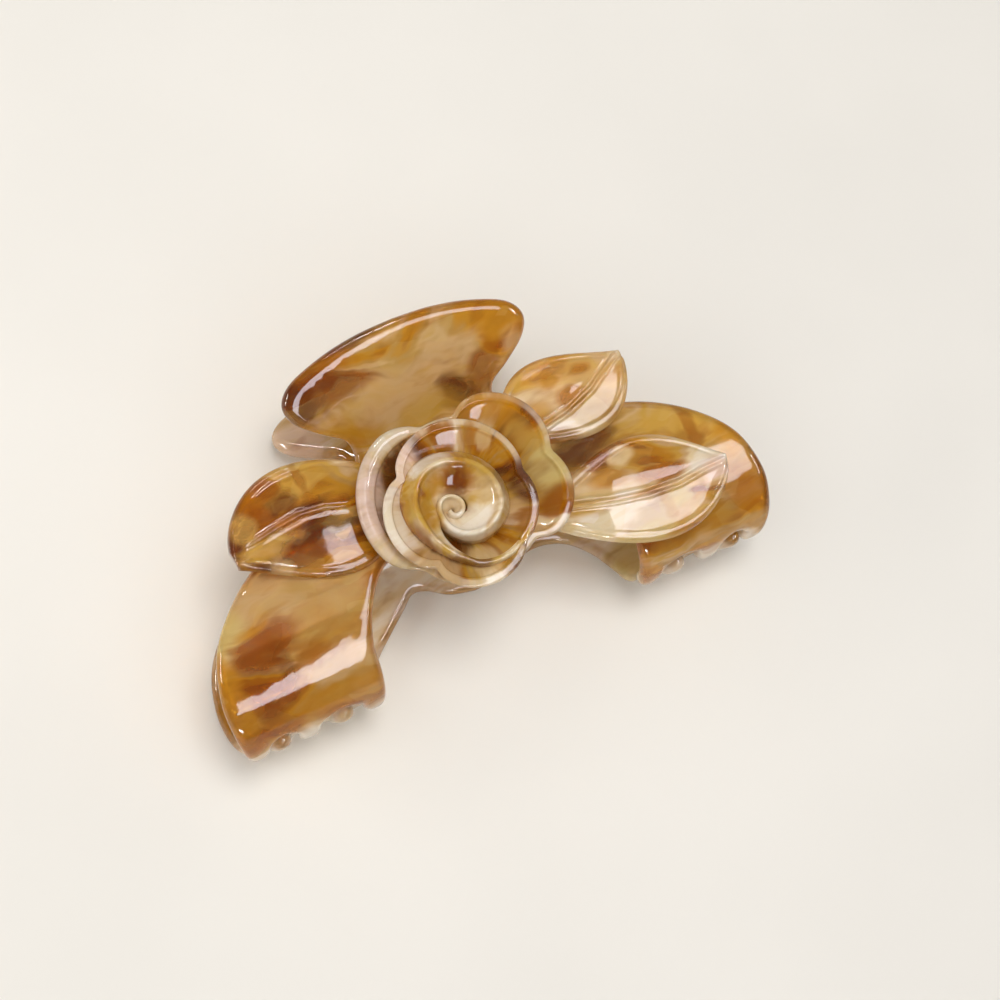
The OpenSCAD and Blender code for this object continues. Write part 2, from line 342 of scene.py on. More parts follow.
def ramp_through(tree, value, stops):
    """A colour ramp through (position, colour) stops."""
    ramp = tree.nodes.new("ShaderNodeValToRGB")
    ramp.color_ramp.interpolation = "EASE"
    tree.links.new(value, ramp.inputs[0])
    points = ramp.color_ramp.elements
    while len(points) < len(stops):
        points.new(0.5)
    for point, (position, colour) in zip(points, stops):
        point.position = position
        point.color = (*colour, 1)
    return ramp.outputs["Color"]


def add_patches(tree, colour, at, feather, patches):
    """Spots of (centre, radii, colour, strength), with feathered edges."""
    for centre, radii, tint, strength in patches:
        off = vector_math(tree, "SUBTRACT", at, centre)
        unit = vector_math(tree, "DIVIDE", off, radii)
        reach = tree.nodes.new("ShaderNodeMath")
        reach.operation = "ADD"
        tree.links.new(vector_math(tree, "LENGTH", unit), reach.inputs[0])
        tree.links.new(feather, reach.inputs[1])
        share = map_range(tree, reach.outputs[0], 1.3, 0.55, 0.0, strength)
        colour = mix_colour(tree, share, colour, tint)
    return colour


VEIN_STRETCH, SHARD_STRETCH = (0.07, 0.2, 0.12), (0.16, 0.3, 0.2)


def add_grain(tree, colour, moved, drawn, cloud, shards):
    """Thin veins, pearly shards, fine fibres along the streaks and a faint cloud."""
    veins = noise(tree, vector_math(tree, "MULTIPLY", moved, VEIN_STRETCH), 1.0, 3.0, 0.55)
    colour = mix_colour(tree, map_range(tree, veins.outputs[0], 0.56, 0.74, 0.0, 0.4), colour, RUST)
    cells = tree.nodes.new("ShaderNodeTexVoronoi")
    cells.feature = "SMOOTH_F1"
    cells.inputs["Smoothness"].default_value = 0.15
    cells.inputs["Scale"].default_value = 1.0
    tree.links.new(vector_math(tree, "MULTIPLY", moved, SHARD_STRETCH), cells.inputs["Vector"])
    split = tree.nodes.new("ShaderNodeSeparateColor")
    tree.links.new(cells.outputs["Color"], split.inputs[0])
    colour = mix_colour(tree, map_range(tree, split.outputs[0], 0.5, 0.9, 0.0, shards), colour, PEARL)
    fibres = noise(tree, vector_math(tree, "SCALE", drawn, scale=5.0), 1.0, 3.0, 0.5, 0.4)
    for low, high, most, tint in ((0.52, 0.74, 0.14, AMBER), (0.48, 0.3, 0.2, OLIVE)):
        share = map_range(tree, fibres.outputs[0], low, high, 0.0, most)
        colour = mix_colour(tree, share, colour, tint)
    return mix_colour(tree, map_range(tree, cloud, 0.45, 0.7, 0.0, 0.08), colour, PEARL)


# rim's default, AMBER, is painted shade: a darker line along the jaws' edges, for the dark line that a
# rounded clear edge shows.
def marble(name, stops, patches, streak=(0.035, 0.11, 0.05), seed=0.0, shards=0.2,
           clear=0.62, warp=4.0, rim=(AMBER, 0.45), fan=None):
    """Marbled acetate: cloudy streaks between the stops' colours, then painted edge light and shade:
    rim's (colour, strength) mixed in along the edge for the dark line and glints of a rounded clear
    edge, then patches of (centre, radii, colour, strength) in the clip's frame, some of them painted
    light and shade too.
    streak is the noise's scale along each axis, and warp how far it is pushed about. Streaks
    may fan out from the point fan. clear is how much light the darkest acetate lets through."""
    material = bpy.data.materials.new(name)
    tree, shader = nodes_of(material)
    at = clip_coordinates(tree)
    shifted = vector_math(tree, "ADD", at, (seed * 37.0, seed * 11.0, seed * 23.0))
    swirl = noise(tree, shifted, 0.06, 3.0, 0.55)
    centred = vector_math(tree, "SUBTRACT", swirl.outputs["Color"], (0.5, 0.5, 0.5))
    push = vector_math(tree, "SCALE", centred, scale=warp * 2)
    warped = vector_math(tree, "ADD", at, push)
    moved = vector_math(tree, "ADD", shifted, push)
    drawn = vector_math(tree, "MULTIPLY", moved, streak)
    if fan:
        arm = vector_math(tree, "SUBTRACT", warped, (*fan, 0.0))
        flat = vector_math(tree, "MULTIPLY", arm, (1.0, 1.0, 0.0))
        spoke = vector_math(tree, "NORMALIZE", flat)
        drawn = vector_math(tree, "ADD", drawn, vector_math(tree, "SCALE", spoke, scale=1.6))

    band = noise(tree, drawn, 1.0, 3.0, 0.45, 0.9)
    colour = ramp_through(tree, map_range(tree, band.outputs[0], 0.34, 0.66, 0.0, 1.0, False), stops)
    # Painted edge light and shade: rim's colour mixed in by the rim attribute.
    edge = tree.nodes.new("ShaderNodeAttribute")
    edge.attribute_name = "rim"
    painted_edge_mix = map_range(tree, edge.outputs["Fac"], 0.0, 1.0, 0.0, rim[1])
    colour = mix_colour(tree, painted_edge_mix, colour, rim[0])
    wisps = noise(tree, vector_math(tree, "SCALE", drawn, scale=2.0), 1.0, 2.0, 0.5, 0.6)
    feather = map_range(tree, wisps.outputs[0], 0.3, 0.7, -0.4, 0.4, False)
    colour = add_patches(tree, colour, warped, feather, patches)
    cloud = noise(tree, shifted, 0.16, 4.0, 0.6).outputs[0]
    colour = add_grain(tree, colour, moved, drawn, cloud, shards)
    tree.links.new(colour, shader.inputs["Base Color"])

    tree.links.new(map_range(tree, cloud, 0.3, 0.7, 0.03, 0.07), shader.inputs["Roughness"])
    grey = tree.nodes.new("ShaderNodeRGBToBW")
    tree.links.new(colour, grey.inputs[0])
    through = map_range(tree, grey.outputs[0], 0.25, 0.7, clear, clear / 2)
    tree.links.new(through, shader.inputs["Transmission Weight"])
    for socket, value in (("IOR", 1.49), ("Subsurface Weight", 0.1),
                          ("Subsurface Radius", (1.0, 0.8, 0.5)), ("Subsurface Scale", 1.5 * MM)):
        shader.inputs[socket].default_value = value
    add_bump(tree, shader, noise(tree, shifted, 0.11, 2.0, 0.5).outputs[0], 0.25, 0.6 * MM)
    return material


def steel(name):
    """Bright steel with fine grain drawn along the pin's axis."""
    material = bpy.data.materials.new(name)
    tree, shader = nodes_of(material)
    drawn = vector_math(tree, "MULTIPLY", clip_coordinates(tree), (0.4, 6.0, 6.0))
    grain = noise(tree, drawn, 1.0, 4.0, 0.6).outputs[0]
    tone = map_range(tree, grain, 0.3, 0.7, 0.0, 1.0)
    colour = mix_colour(tree, tone, srgb("B9B6B2"), srgb("D6D3CE"))
    tree.links.new(colour, shader.inputs["Base Color"])
    tree.links.new(map_range(tree, grain, 0.3, 0.7, 0.18, 0.34), shader.inputs["Roughness"])
    shader.inputs["Metallic"].default_value = 1.0
    add_bump(tree, shader, grain, 0.15, 0.05 * MM)
    return material


# Colour stops of the streaks, from the deepest to the palest.
WARM = [(0.0, BROWN), (0.2, AMBER), (0.4, HONEY), (0.56, TAN), (0.7, OLIVE), (0.84, SAND), (1.0, CREAM)]
TAWNY = [(0.0, RUST), (0.2, AMBER), (0.36, HONEY), (0.5, TAN), (0.66, SAND), (0.82, OLIVE), (1.0, SAND)]
LEAFY = [(0.0, RUST), (0.2, HONEY), (0.4, OLIVE), (0.56, SAND), (0.75, CREAM), (1.0, IVORY)]
PALE = [(0.0, HONEY), (0.16, TAN), (0.32, SAND), (0.5, CREAM), (0.8, IVORY), (1.0, CREAM)]

jaw_front_look = marble("acetate_front_jaw", TAWNY, [
    ((-6, 10.5, 12), (10, 6, 7), SAND, 0.85), ((8, 12, 13), (6, 5, 6), SAND, 0.8),
    ((-15, 16.5, 16), (9, 3, 5), AMBER, 0.85), ((-15, 13, 14), (9, 3.6, 7), RUST, 0.95),
    ((-14, 14.4, 15), (4, 1.8, 5), BROWN, 0.7),
    # The DARK patch along the paddle's top edge is painted shade, the dark line that light refracted at
    # the rounded clear edge shows.
    ((-21, 12, 13), (5, 4, 6), BROWN, 0.95), ((-14, 21, 17.5), (12, 2.6, 4), DARK, 0.85),
    ((6.5, 6.5, 9.5), (3.2, 3.6, 5), BROWN, 0.85), ((12, 9, 11.5), (4.5, 3, 5), RUST, 0.9),
    ((18, 14.5, 14.5), (5.5, 4, 5), HONEY, 0.85), ((19.5, 10.5, 12), (3, 2, 4), SAND, 0.7),
    ((0, 5, 8), (6, 3, 4), OLIVE, 0.75), ((-13, 6, 9.5), (7, 2.4, 4), HONEY, 0.8),
    ((-34, -15, 14), (12, 6.5, 7), SAND, 0.85), ((-30, -22, 14), (7, 6, 6), TAN, 0.85),
    ((-47.5, -18.5, 14), (4.5, 5, 6), PEARL, 0.85), ((-42, -22.5, 14), (6, 4.6, 6), RUST, 0.95),
    ((-40, -25, 14), (2.0, 4, 5), BROWN, 0.4), ((-35, -25.5, 14), (4, 2.4, 5), AMBER, 0.75),
    ((-51, -28, 11), (3, 9, 9), HONEY, 0.85), ((-37, -33.5, 10), (12, 2.8, 5), HONEY, 0.8),
    ((-31, -29.5, 12), (5, 2.4, 4), SAND, 0.8), ((41, -15, 14), (8, 5, 6), OLIVE, 0.85),
    # The BROWN patch at (24, -12) is a painted shadow in the gap between the two right leaves.
    ((48, -20, 13), (4, 5, 6), HONEY, 0.8), ((24, -12, 13), (7, 4, 6), BROWN, 0.85),
    # The BROWN patch at (52, -30) is painted shade, a dark line along the right wing's outer edge.
    ((41.5, -16, 14), (1, 4, 6), RUST, 0.6), ((52, -30, 9), (1.6, 9, 9), BROWN, 0.8),
    ((48, -31, 11), (5, 5, 6), AMBER, 0.8), ((37, -34, 10), (8, 3, 5), HONEY, 0.8),
    # The IVORY patches along the teeth are their pale tips, made paler as painted light where the teeth
    # face away from the lamps.
    ((-39, -37, -2), (16, 3.4, 8), IVORY, 0.9), ((39, -37, -2), (16, 3.4, 8), IVORY, 0.9),
], seed=0.3)
jaw_back_look = marble("acetate_back_jaw", PALE, [
    ((-16, 14, -12), (14, 9, 9), SAND, 0.8), ((-20, 11, -9), (6, 4, 5), ROSY, 0.6),
    # The IVORY patch along the teeth is their pale tips, made paler as painted light where the teeth
    # face away from the lamps.
    ((8, -20, -12), (14, 8, 6), SAND, 0.7), ((0, -37, -2), (60, 3.5, 6), IVORY, 0.8),
    # The PEARL patch at (28, -33) is the corner's golden cream, made paler as painted light where it
    # lies in shade.
    ((-36, -22, -12), (10, 8, 6), OLIVE, 0.5), ((28, -33, -6), (8, 5, 8), PEARL, 0.8),
], seed=1.1)
# The petals' rim=(IVORY, 0.5) is a painted highlight along their beaded rims, standing in for glints.
outer_look = marble("acetate_outer_petals", WARM, [
    ((8, -1, 18), (6, 5, 5), HONEY, 0.85), ((12, -7.5, 18), (4, 3.5, 5), OLIVE, 0.8),
    ((14, -14, 18), (3.4, 3.6, 5), PEARL, 0.95), ((13, -20, 18), (4.5, 3, 5), AMBER, 0.9),
    # The ROSY patch on the outer-left wall is a painted reflection of pink-lavender light.
    ((-17, -6, 19), (4.5, 9, 5.5), ROSY, 0.95), ((-10.5, -5, 15.5), (4, 7, 3.2), BROWN, 0.9),
    ((-11, -25, 18), (10, 4, 5), SAND, 0.9), ((3, -28, 19), (4, 3, 5), BROWN, 0.9),
], seed=2.2, streak=(0.03, 0.03, 0.05), warp=2.5, fan=(-4.0, -14.0), rim=(IVORY, 0.5))
middle_look = marble("acetate_middle_petals", WARM, [
    ((-10, -5, 21), (2.6, 5, 5), ROSY, 0.9), ((-2, -3, 21), (3.5, 4, 5), AMBER, 0.9),
    ((2, -4, 21), (2.4, 3, 5), AMBER, 0.85), ((4.5, -6, 21), (1.6, 2.5, 4), SAND, 0.85),
    ((8, -15, 21), (3, 4, 5), BROWN, 0.9), ((4.5, -18.5, 20), (2, 2, 5), SAND, 0.8),
    ((6, -21.5, 21), (3, 2.4, 5), AMBER, 0.85), ((-15, -14, 21), (4, 6, 5), IVORY, 0.85),
    ((-12, -23, 23), (5, 5, 5), SAND, 0.9), ((-8, -20, 19), (4, 3, 3), BROWN, 0.9),
    ((-4, -24, 20), (2.6, 3, 5), SAND, 0.85), ((2, -28, 22), (3, 3, 5), BROWN, 0.9),
], seed=3.4, streak=(0.03, 0.03, 0.05), warp=2.0, clear=0.55, fan=(-4.0, -14.0), rim=(IVORY, 0.5))
# The bud's rim=(CREAM, 0.4) is painted light along its edge, for its clear rounded rim.
bud_look = marble("acetate_bud", LEAFY, [
    ((-3, -10, 22), (3.5, 2.8, 4), AMBER, 0.9), ((-3, -10.4, 22), (2.4, 2, 3), BROWN, 0.9),
    ((-7.5, -9.5, 22), (2.4, 2.5, 4), HONEY, 0.8), ((1, -14, 23), (3, 3.5, 4), SAND, 0.8),
    ((-4, -18, 23), (6, 4, 5), IVORY, 0.95), ((-5, -13, 24), (2.5, 2.4, 3), CREAM, 0.8),
    ((-12.5, -18, 21), (3, 4, 4), RUST, 0.8), ((-9, -24, 22), (5, 3, 4), BROWN, 0.85),
], seed=4.1, streak=(0.12, 0.12, 0.04), warp=1.5, clear=0.4, rim=(CREAM, 0.4))
# Each leaf's rim colour is painted edge light and shade, for the clear glassy edge.
leaf_left_look = marble("acetate_left_leaf", WARM, [
    ((-28, 1, 16), (7, 4, 6), OLIVE, 0.85), ((-26.4, 1, 16), (0.9, 4, 6), AMBER, 0.7),
    ((-35, 1, 16), (2.4, 3, 6), AMBER, 0.8), ((-32, 1.4, 16), (2.2, 2, 6), RUST, 0.85),
    ((-30.4, -1.6, 16), (2.4, 1.8, 6), BROWN, 0.8), ((-27, -3.8, 16), (4.5, 1.4, 6), BROWN, 0.85),
    ((-35, -2.6, 16), (2.4, 3, 6), RUST, 0.9), ((-38, -3.6, 16), (2, 3, 6), TAN, 0.8),
    ((-36, -7.2, 16), (4.5, 2.6, 6), OLIVE, 0.75), ((-26.5, -8, 16), (4, 1.8, 6), BROWN, 0.85),
    ((-30, -10.6, 16), (3.6, 2.6, 6), RUST, 0.85), ((-35, -12, 15), (2, 2, 6), SAND, 0.85),
    ((-33, -15.4, 15), (2.4, 1.4, 6), BROWN, 0.85),
], seed=5.2, warp=2.0, shards=0.4, clear=0.7, rim=(HONEY, 0.5))
leaf_upper_look = marble("acetate_upper_leaf", LEAFY, [
    ((27, -3, 15), (12, 7, 7), SAND, 0.6), ((27.6, 0.6, 16), (2.6, 1.2, 6), AMBER, 0.8),
    ((24, -3.6, 16), (2.8, 2.4, 6), AMBER, 0.8), ((21, 0.4, 16), (1.6, 1.6, 6), HONEY, 0.7),
    ((26, -7.4, 15), (5, 2.4, 6), TAN, 0.6), ((29, -5.8, 15), (4.2, 2.8, 6), TAN, 0.65),
    # The RUST patch at (19, -10.4) is a painted shadow at the leaf's base beside the rose.
    ((16, -5.4, 14), (4, 3, 6), HONEY, 0.75), ((19, -10.4, 14), (4, 2.6, 6), RUST, 0.9),
], seed=6.7, warp=2.0, shards=0.4, clear=0.7, rim=(SAND, 0.5))
leaf_lower_look = marble("acetate_lower_leaf", LEAFY, [
    ((24, -29, 15), (14, 5, 6), CREAM, 0.7), ((22.4, -15.4, 16), (3.4, 2.6, 6), RUST, 0.85),
    ((27, -17, 17), (2.4, 1.8, 6), CREAM, 0.8), ((23.4, -19.4, 16), (3.4, 1.8, 6), HONEY, 0.75),
    ((33.4, -22, 17), (4.4, 1.8, 6), AMBER, 0.85), ((33.4, -28, 17), (3, 1.8, 6), PEARL, 0.85),
    # The IVORY patch at (21, -25.4) is a painted reflection on the leaf's lower half.
    ((31, -28.6, 17), (1.2, 2.6, 6), HONEY, 0.7), ((21, -25.4, 16), (7, 3, 6), IVORY, 0.9),
    ((25, -32, 15), (9, 1.8, 6), PEARL, 0.7), ((42, -25, 17), (3, 3, 6), ROSY, 0.85),
], seed=7.9, warp=2.0, shards=0.4, clear=0.7, rim=(SAND, 0.5))
steel_look = steel("bright_steel")

# ---------------------------------------------------------------- jaws
# Outlines as (x, length along the bend), each on the side x > 0 and mirrored for the other.
PLATE_END = -40.5
OUTER = [(51.3, PLATE_END), (52.4, -35), (52.2, -29), (50, -22), (45.2, -16), (38.5, -10.5),
         (31, -7), (24, -4.6), (17.5, -2.6), (14.2, 1.4), (14.2, 5.4), (18, 8.4), (22, 12),
         (23.2, 15.8), (20.6, 19.2), (14, 21.8), (7, 23.2), (0, 23.6)]
FRONT_ARCH = [(25.4, PLATE_END), (25.2, -36), (25, -30.5), (22.6, -24.5), (18, -19.4), (10, -17.6),
              (0, -17.6)]
BACK_ARCH_LEFT = [(25.4, PLATE_END), (25, -36.4), (21.6, -32.2), (17, -28.4), (13.4, -25.6),
                  (11, -23.8), (8.4, -24.2), (4.6, -26.6), (0, -27.8)]
BACK_ARCH_RIGHT = [(25.4, PLATE_END), (25, -36), (23.4, -30.8), (19.6, -26.6), (14, -25),
                   (8, -26.2), (3, -27.6), (0, -27.8)]
# Half width of a tooth at distances along the bend, down to its round tip.
TOOTH = [(3.1, -40.9), (2.4, -42), (2.15, -44), (1.95, -45.6), (1.6, -47), (0.95, -48), (0, -48.35)]


def tooth_edge(x, outer_free, inner_free):
    """A tooth's outline from its outer side round the tip to its inner side."""
    down = [(x + w, s) for w, s in (TOOTH if outer_free else TOOTH[2:])]
    up = [(x - w, s) for w, s in (TOOTH[:-1] if inner_free else TOOTH[2:-1])]
    return down + up[::-1]


def half_outline(arch, teeth):
    """Right half of a jaw, from the paddle's middle by the wing and the teeth to the arch."""
    edge = OUTER[:0:-1]
    corner_tooth = teeth[0] > 48
    if not corner_tooth:
        edge += [(51.6, -39), (50.4, PLATE_END)]
    for k, x in enumerate(teeth):
        edge += tooth_edge(x, k > 0 or not corner_tooth, k < len(teeth) - 1 or x > 30)
        if k < len(teeth) - 1:
            edge.append(((x + teeth[k + 1]) / 2, PLATE_END + 0.3))
    if teeth[-1] > 30:
        edge += [(26.6, PLATE_END), (25.3, -39)]
    return edge + arch[1:]


def jaw_outline(left, right, teeth):
    """A jaw's whole outline, with the left and right halves of its arch and one side's teeth."""
    a = smooth(half_outline(right, teeth), 8)
    b = smooth(half_outline(left, teeth), 8) * np.array([-1, 1])
    return np.vstack([a, b[::-1][1:-1]])


LUG_IN, LUG_T, LUG_GAP = 5.4, 2.6, 0.3
LUG_OUT = LUG_IN + LUG_T + LUG_GAP


def lug(name, x, body, node, look, flipped):
    """A round ear with a foot on the sheet, its edges eased."""
    r, foot, top, ease, cut = 3.2, 4.5, 5.0, 0.35, 0.12
    turn = np.radians(np.arange(180 - 35, 360 + 35 + 1, 5))
    ear = [(r * math.cos(a), r * math.sin(a)) for a in turn]
    flank = smooth([ear[-1], (r * 0.95, 3.0), (foot, top)], 5)
    profile = np.array(ear + [tuple(p) for p in flank[1:]] + [(-y, z) for y, z in flank[::-1][:-1]])
    centre = np.array([0, 1.2])
    # (distance across the ear, how far its outline is drawn in)
    stations = [(0, ease), (cut, cut), (ease, 0), (LUG_T - ease, 0), (LUG_T - cut, cut), (LUG_T, ease)]
    rings = []
    for along, inset in stations:
        away = profile - centre
        size = np.linalg.norm(away, axis=1, keepdims=True)
        q = centre + away * (1 - inset / size)
        rings.append(np.column_stack([np.full(len(q), x + along), q]))
    points = np.vstack(rings)
    faces = ring_faces(len(stations), len(profile))
    return make(name, points, faces, body, [node], look, flipped)


def jaw(name, outline, body, node, look, flipped):
    points, faces, rim = sheet_mesh(outline, SHEET, on_sheet)
    return make(name, points, faces, body, [node], look, flipped, rim)


jaw("front_jaw_sheet", jaw_outline(FRONT_ARCH, FRONT_ARCH, [49.2, 39.8, 27.6]), "front",
    "front_jaw", jaw_front_look, False)
jaw("back_jaw_sheet", jaw_outline(BACK_ARCH_LEFT, BACK_ARCH_RIGHT, [45, 33.2]), "back",
    "back_jaw", jaw_back_look, True)

for side, inner in (("front", LUG_OUT), ("back", LUG_IN)):
    look = jaw_front_look if side == "front" else jaw_back_look
    for hand, x in (("left", -inner - LUG_T), ("right", inner)):
        lug(f"{side}_ear_{hand}", x, side, f"{side}_lug_{hand}", look, side == "back")

# ---------------------------------------------------------------- pin and spring
PIN_R, PIN_HALF = 1.0, LUG_OUT + LUG_T + 0.2
# One domed head as (radius, length past the shank), from the shank outwards.
PIN_HEAD = [(PIN_R, 0.0), (1.7, 0.05), (1.8, 0.3), (1.7, 0.55), (1.3, 0.8), (0.02, 0.8)]
PIN_SIDES = 40
pin_profile = ([(r, -PIN_HALF - past) for r, past in PIN_HEAD[::-1]]
               + [(r, PIN_HALF + past) for r, past in PIN_HEAD])
angles = np.arange(PIN_SIDES) * 2 * math.pi / PIN_SIDES
pin_points = np.vstack([np.column_stack([np.full(PIN_SIDES, x), r * np.cos(angles), r * np.sin(angles)])
                        for r, x in pin_profile])
make("pin", pin_points, ring_faces(len(pin_profile), PIN_SIDES), "back", ["hinge_pin"],
     steel_look)

COIL_R, COIL_L, TURNS = 1.95, 9.4, 7
LEG, LEG_ANGLE, LEG_SAG = 8.8, math.radians(25), 0.2
WIRE, WIRE_SIDES = 0.4, 14


def leg(side, t):
    """A point of a spring leg, t from 0 at the coil to 1 at its end."""
    c, s = math.cos(LEG_ANGLE), math.sin(LEG_ANGLE)
    y = -COIL_R * s + t * LEG * c - t * t * LEG_SAG * s
    z = COIL_R * c + t * LEG * s + t * t * LEG_SAG * c
    return (-side * COIL_L / 2, y, side * z)


path = [leg(1, t) for t in np.linspace(1, 0.1, 12)]
coil_steps = 40 * TURNS
for i in range(coil_steps + 1):
    t = i / coil_steps
    turn = math.pi / 2 + LEG_ANGLE + t * (2 * math.pi * TURNS + math.pi - 2 * LEG_ANGLE)
    path.append((-COIL_L / 2 + COIL_L * t, COIL_R * math.cos(turn), COIL_R * math.sin(turn)))
path += [leg(-1, t) for t in np.linspace(0.1, 1, 12)]
path = np.array(path)
along = np.gradient(path, axis=0)
u = np.cross(along, [1.0, 0, 0])
u /= np.linalg.norm(u, axis=1, keepdims=True)
v = np.cross(u, along)
v /= np.linalg.norm(v, axis=1, keepdims=True)
ring = np.arange(WIRE_SIDES) * 2 * math.pi / WIRE_SIDES
wire = np.vstack([p + WIRE * (a * np.cos(ring)[:, None] + c * np.sin(ring)[:, None])
                  for p, a, c in zip(path, u, v)])
spring = make("spring_wire", wire, ring_faces(len(path), WIRE_SIDES), None, ["torsion_spring"],
              steel_look)
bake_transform(spring)

# ---------------------------------------------------------------- rose
PETAL = 1.7  # thickness of a petal
SEAT = 13.4  # height of the rose's foot over the pin
BEAD = 0.42  # how far the bead round a petal's rim stands out


def lobe_radius(lobes, angle, floor_r):
    """A cup's rim radius at each angle, for lobes of (middle angle, radius, half width), and
    floor_r outside them."""
    reach = np.zeros_like(angle)
    for centre, radius, width in lobes:
        d = (angle - centre + 180) % 360 - 180
        u = np.clip(np.abs(d) / width, 0, 1)
        reach = np.maximum(reach, (radius - floor_r) * np.cos(math.pi / 2 * u) ** 0.55)
    return floor_r + reach


def petal_cup(name, centre, lobes, floor_r, z0, z1, bowl, node, look, waves, lip=(0, 1, 0, 0)):
    """A cup of joined petals from height z0 to z1, its rim thinned, beaded, rounded and waved by
    (count, height, phase). bowl is the power of its wall's rise. lip makes one petal stand
    stronger: (its angle, half width, added thickness, added power)."""
    n = 360  # points in a ring
    a = np.arange(n) * 360.0 / n
    top = lobe_radius(lobes, a, floor_r)
    kernel = np.exp(-0.5 * (np.arange(-6, 7) / 2.2) ** 2)
    kernel /= kernel.sum()
    top = np.convolve(np.concatenate([top[-6:], top, top[:6]]), kernel, "valid")
    rim = z1 + sum(h * np.sin(np.radians(a * k + p)) for k, h, p in waves)
    apart = np.abs((a - lip[0] + 180) % 360 - 180) / lip[1]
    upright = 1 - smoothstep(apart, 0.55, 1.0)

    def surface(q):
        return np.stack([2 + (top - 2) * q, z0 + (rim - z0) * q ** (bowl + lip[3] * upright)], -1)

    rings = []
    qs = np.concatenate([np.linspace(0, 0.86, 16), np.linspace(0.88, 1, 13)])
    normal = []
    for q in qs:
        d = surface(min(q + 0.02, 1.0)) - surface(max(q - 0.02, 0.0))
        normal.append(d / np.linalg.norm(d, axis=1, keepdims=True))
    thick = [PETAL * (1 - 0.3 * smoothstep(q, 0.6, 1.0)) + lip[2] * upright * smoothstep(q, 0.5, 0.95)
             for q in qs]
    for q, d in zip(qs, normal):
        bead = BEAD * math.exp(-((q - 0.965) / 0.03) ** 2)
        rings.append(surface(q) - np.stack([d[:, 1], -d[:, 0]], -1) * bead)
    edge, d = surface(1.0), normal[-1]
    out = np.stack([d[:, 1], -d[:, 0]], -1)
    w = thick[-1]
    rim_turns = (30, 60, 90, 120, 150)
    for phi in np.radians(rim_turns):
        rings.append(edge + out * (w / 2 * (1 - math.cos(phi)))[:, None]
                     + d * (w / 2 * math.sin(phi))[:, None])
    for q, d, w in list(zip(qs, normal, thick))[::-1]:
        rings.append(surface(q) + np.stack([d[:, 1], -d[:, 0]], -1) * w[:, None])
    c, s = np.cos(np.radians(a)), np.sin(np.radians(a))
    points = np.vstack([np.column_stack([centre[0] + r[:, 0] * c, centre[1] + r[:, 0] * s, r[:, 1]])
                        for r in rings])
    level = np.concatenate([qs, np.ones(len(rim_turns)), qs[::-1]])
    # The bead's share of the painted highlight along the rim.
    painted_edge_share = np.repeat(smoothstep(level, 0.965, 1.0), n)
    return make(name, points, ring_faces(len(rings), n), "front", [node], look,
                rim=painted_edge_share)


petal_cup("outer_petals", (-1.6, -13),
          [(160, 16.6, 58), (36, 18.6, 38), (-20, 18, 33), (246, 14.6, 42)],
          13, SEAT + PETAL, 19.5, 1.5, "rose_outer_petals", outer_look,
          [(3, 0.25, 40), (5, 0.12, 0)], (160, 62, 1.3, 3.0))
petal_cup("middle_petals", (-4, -14.6),
          [(68, 14, 64), (-24, 12.5, 36), (-90, 13.4, 44), (178, 12.5, 44)],
          10.6, SEAT + 2 * PETAL + 0.1, 22.5, 1.1, "rose_middle_petals", middle_look,
          [(2, 0.2, 20), (4, 0.15, 90)])

# The bud is a strip rolled into a spiral. Points are (angle, radius) of its rim.
BUD_ROLL = [(-27, 13.6), (-48, 12.6), (-68, 11.5), (-88, 10.1), (-107, 8.3), (-134, 7.0), (-172, 6.4),
            (-214, 7.0), (-250, 7.7), (-303, 7.8), (-340, 7.8), (-378, 7.5), (-407, 6.5), (-440, 5.2),
            (-480, 3.7), (-526, 2.7), (-588, 2.6), (-626, 2.2), (-677, 1.7), (-750, 1.35), (-833, 1.2),
            (-896, 1.0)]
BUD_CENTRE = (-5.3, -14.7)
BUD_FOOT, BUD_TOP, BUD_HOLE = SEAT + 3 * PETAL + 0.2, 25.0, 0.2


def bud_section(r, turned):
    """The strip's section as (radius, height), from its outer foot over the rim to its inner foot,
    once it has turned by that many degrees. It starts low, grows a skirt and a sloping inside,
    and gets thinner and lower towards the middle."""
    rim = BUD_TOP - 1.6 * smoothstep(turned, 330, 520) - 2.7 * (1 - smoothstep(turned, 0, 150))
    slope = smoothstep(turned, 60, 200)
    w = 0.62 - 0.2 * smoothstep(turned, 380, 600)
    reach = min(4.4, r) * slope
    skirt = 2.6 * smoothstep(turned, 90, 200) * (1 - smoothstep(turned, 330, 460))
    outside = [(r + 0.6 + skirt, BUD_FOOT), (r + w + 0.1 + 0.45 * skirt, rim - 2.6)]
    over = [(r + w, rim - 0.75), (r + 0.72 * w, rim - 0.25), (r + 0.3 * w, rim),
            (r - 0.3 * w, rim), (r - 0.72 * w, rim - 0.25)]
    down = [(r - w - reach * f, rim - 0.75 - 3.0 * slope * f ** 0.8)
            for f in (0, 0.08, 0.2, 0.4, 0.65, 1.0)]
    down = [(max(p, BUD_HOLE), max(z, BUD_FOOT + 0.3)) for p, z in down]
    return outside + over + down + [(max(r - w - reach, BUD_HOLE), BUD_FOOT)]


bud = []
roll = smooth(BUD_ROLL, 16)
for angle, r in roll:
    section = bud_section(r, BUD_ROLL[0][0] - angle)
    c, s = math.cos(math.radians(angle)), math.sin(math.radians(angle))
    bud += [(BUD_CENTRE[0] + p * c, BUD_CENTRE[1] + p * s, z) for p, z in section]
make("bud", bud, ring_faces(len(roll), len(bud) // len(roll)), "front", ["rose_bud"],
     bud_look)

# ---------------------------------------------------------------- leaves
LEAF = 2.4  # thickness of a leaf
RIB_CUT, RIB_RIDGE = 0.6, 0.34  # depth of the midrib, and height of the ridges beside it
BORDER = 0.3  # depth of the line that sets the leaf's border off


